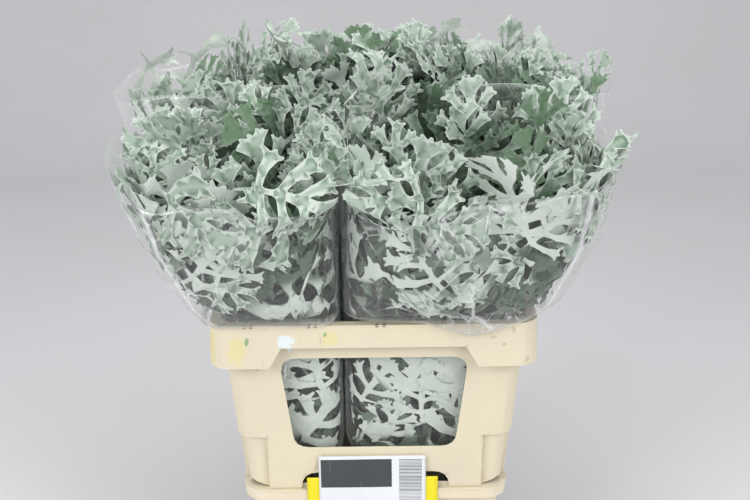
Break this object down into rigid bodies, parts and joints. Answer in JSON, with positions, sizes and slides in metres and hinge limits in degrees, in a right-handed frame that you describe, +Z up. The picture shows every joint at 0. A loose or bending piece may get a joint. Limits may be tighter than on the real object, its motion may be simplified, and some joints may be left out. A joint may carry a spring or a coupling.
{
  "type": "cut dusty miller in a flower container",
  "caption": "Cut dusty miller: leafy silver stems in clear film sleeves, standing in water in a two-part plastic bucket with a windowed collar.",
  "frame": {"origin": "middle of the bucket's flat underside", "axes": "+Z up, the stems' way; +X to the right of someone facing the front; the labelled front faces -Y"},
  "size_m": [0.6766, 0.4646, 0.7748],
  "materials": {
    "container": "satin cream polypropylene, scuffed",
    "water": "clear still water",
    "film": "clear crinkled film",
    "foliage": "felted silver grey leaf",
    "tie": "matte",
    "card_yellow": "matte",
    "card_white": null
  },
  "bodies": {
    "root": {"bucket": "container", "collar": "container", "water": "water", "card_yellow": "card_yellow", "card_white": "card_white", "sleeve_front_left": "film", "tie_front_left": "tie", "sleeve_front_right": "film", "tie_front_right": "tie", "sleeve_back_left": "film", "tie_back_left": "tie", "sleeve_back_right": "film", "tie_back_right": "tie", "stem_front_left_1": "foliage", "stem_front_left_2": "foliage", "stem_front_left_3": "foliage", "stem_front_left_4": "foliage", "stem_front_left_5": "foliage", "stem_front_left_6": "foliage", "stem_front_right_1": "foliage", "stem_front_right_2": "foliage", "stem_front_right_3": "foliage", "stem_front_right_4": "foliage", "stem_front_right_5": "foliage", "stem_front_right_6": "foliage", "stem_back_left_1": "foliage", "stem_back_left_2": "foliage", "stem_back_left_3": "foliage", "stem_back_left_4": "foliage", "stem_back_left_5": "foliage", "stem_back_left_6": "foliage", "stem_back_right_1": "foliage", "stem_back_right_2": "foliage", "stem_back_right_3": "foliage", "stem_back_right_4": "foliage", "stem_back_right_5": "foliage", "stem_back_right_6": "foliage"}
  },
  "joints": []
}
